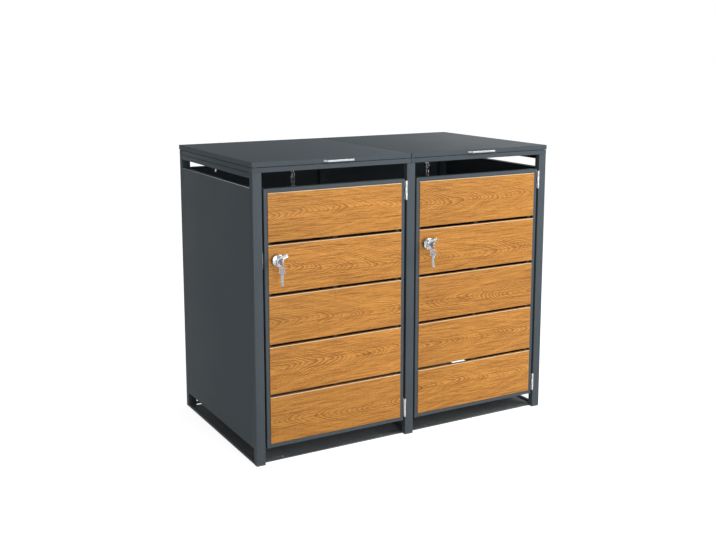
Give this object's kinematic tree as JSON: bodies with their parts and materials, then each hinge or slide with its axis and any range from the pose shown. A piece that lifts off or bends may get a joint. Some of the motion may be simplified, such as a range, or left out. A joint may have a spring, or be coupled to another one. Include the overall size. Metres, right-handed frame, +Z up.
{
  "type": "wheelie bin store",
  "caption": "Outdoor steel store for wheeled bins: slatted timber doors with cam locks and keys, lift-up steel lids with bow handles, lid chains and open ventilation slots.",
  "frame": {"origin": "on the ground, under the middle of the frame, on the underside of the centre base rail", "axes": "+X to the right seen from the doors, +Y from the doors to the back wall, +Z up"},
  "size_m": [1.384, 0.8627, 1.178],
  "materials": {
    "powder_coat": "fine-textured anthracite powder coat, satin",
    "oiled_wood": "smooth planed softwood boards with a warm oiled stain",
    "zinc_steel": "zinc-plated, lightly brushed",
    "lock_chrome": "bright nickel plating",
    "chain_steel": "galvanised wire",
    "rubber": "matt black"
  },
  "bodies": {
    "frame": {"back_panels": "powder_coat", "back_posts": "powder_coat", "back_top_rails": "powder_coat", "base_rails": "powder_coat", "chain_studs": "zinc_steel", "door_hinge_post_leaves": "zinc_steel", "floor_panels": "powder_coat", "frame_fixings": "powder_coat", "front_centre_post": "powder_coat", "front_left_post": "powder_coat", "front_right_post": "powder_coat", "front_sills": "powder_coat", "front_top_rails": "powder_coat", "hinge_pins": "zinc_steel", "left_side_panel": "powder_coat", "lid_buffers": "rubber", "lid_hinge_rail_leaves": "zinc_steel", "right_side_panel": "powder_coat", "side_top_rails": "powder_coat", "strike_plates": "zinc_steel", "upper_wall_strips": "powder_coat"},
    "left_door": {"left_door_frame": "powder_coat", "left_door_hinge_leaves": "zinc_steel", "left_door_screws": "zinc_steel", "left_door_slat_1": "oiled_wood", "left_door_slat_2": "oiled_wood", "left_door_slat_3": "oiled_wood", "left_door_slat_4": "oiled_wood", "left_door_slat_5": "oiled_wood", "left_lock_housing": "lock_chrome"},
    "left_lock": {"left_lock_cylinder": "lock_chrome", "left_lock_cam": "lock_chrome", "left_lock_key": "lock_chrome"},
    "left_spare_key": {"left_spare_key": "lock_chrome"},
    "left_lid": {"left_lid_handle": "zinc_steel", "left_lid_hinge_leaves": "zinc_steel", "left_lid_shell": "powder_coat", "left_lid_stiffeners": "powder_coat", "left_chain_eye": "chain_steel"},
    "left_chain": {"left_chain": "chain_steel"},
    "right_door": {"right_door_frame": "powder_coat", "right_door_hinge_leaves": "zinc_steel", "right_door_screws": "zinc_steel", "right_door_slat_1": "oiled_wood", "right_door_slat_2": "oiled_wood", "right_door_slat_3": "oiled_wood", "right_door_slat_4": "oiled_wood", "right_door_slat_5": "oiled_wood", "right_lock_housing": "lock_chrome"},
    "right_lock": {"right_lock_cylinder": "lock_chrome", "right_lock_cam": "lock_chrome", "right_lock_key": "lock_chrome"},
    "right_spare_key": {"right_spare_key": "lock_chrome"},
    "right_lid": {"right_lid_handle": "zinc_steel", "right_lid_hinge_leaves": "zinc_steel", "right_lid_shell": "powder_coat", "right_lid_stiffeners": "powder_coat", "right_chain_eye": "chain_steel"},
    "right_chain": {"right_chain": "chain_steel"}
  },
  "joints": [
    {"name": "left_door_hinge", "type": "hinge", "parent": "frame", "child": "left_door", "pos_m": [-0.02425, -0.3971, 0.57], "axis": [0, 0, 1], "range_deg": [0, 110]},
    {"name": "left_lock_turn", "type": "hinge", "parent": "left_door", "child": "left_lock", "pos_m": [-0.5995, -0.3945, 0.806], "axis": [0, 1, 0], "range_deg": [0, 90]},
    {"name": "left_spare_key_swing", "type": "hinge", "parent": "left_lock", "child": "left_spare_key", "pos_m": [-0.5995, -0.4493, 0.795], "axis": [0, 1, 0], "range_deg": [-90, 0]},
    {"name": "left_lid_hinge", "type": "hinge", "parent": "frame", "child": "left_lid", "pos_m": [-0.336, 0.39975, 1.158], "axis": [-1, 0, 0], "range_deg": [0, 80]},
    {"name": "left_chain_swing", "type": "hinge", "parent": "left_lid", "child": "left_chain", "pos_m": [-0.336, 0, 1.143], "axis": [-1, 0, 0], "range_deg": [-80, 0]},
    {"name": "right_door_hinge", "type": "hinge", "parent": "frame", "child": "right_door", "pos_m": [0.64775, -0.3971, 0.57], "axis": [0, 0, 1], "range_deg": [0, 110]},
    {"name": "right_lock_turn", "type": "hinge", "parent": "right_door", "child": "right_lock", "pos_m": [0.0725, -0.3945, 0.806], "axis": [0, 1, 0], "range_deg": [0, 90]},
    {"name": "right_spare_key_swing", "type": "hinge", "parent": "right_lock", "child": "right_spare_key", "pos_m": [0.0725, -0.4493, 0.795], "axis": [0, 1, 0], "range_deg": [-90, 0]},
    {"name": "right_lid_hinge", "type": "hinge", "parent": "frame", "child": "right_lid", "pos_m": [0.336, 0.39975, 1.158], "axis": [-1, 0, 0], "range_deg": [0, 80]},
    {"name": "right_chain_swing", "type": "hinge", "parent": "right_lid", "child": "right_chain", "pos_m": [0.336, 0, 1.143], "axis": [-1, 0, 0], "range_deg": [-80, 0]}
  ],
  "couplings": [
    {"joint": "left_spare_key_swing", "follows": "left_lock_turn", "ratio": -1},
    {"joint": "left_chain_swing", "follows": "left_lid_hinge", "ratio": -1},
    {"joint": "right_spare_key_swing", "follows": "right_lock_turn", "ratio": -1},
    {"joint": "right_chain_swing", "follows": "right_lid_hinge", "ratio": -1}
  ]
}
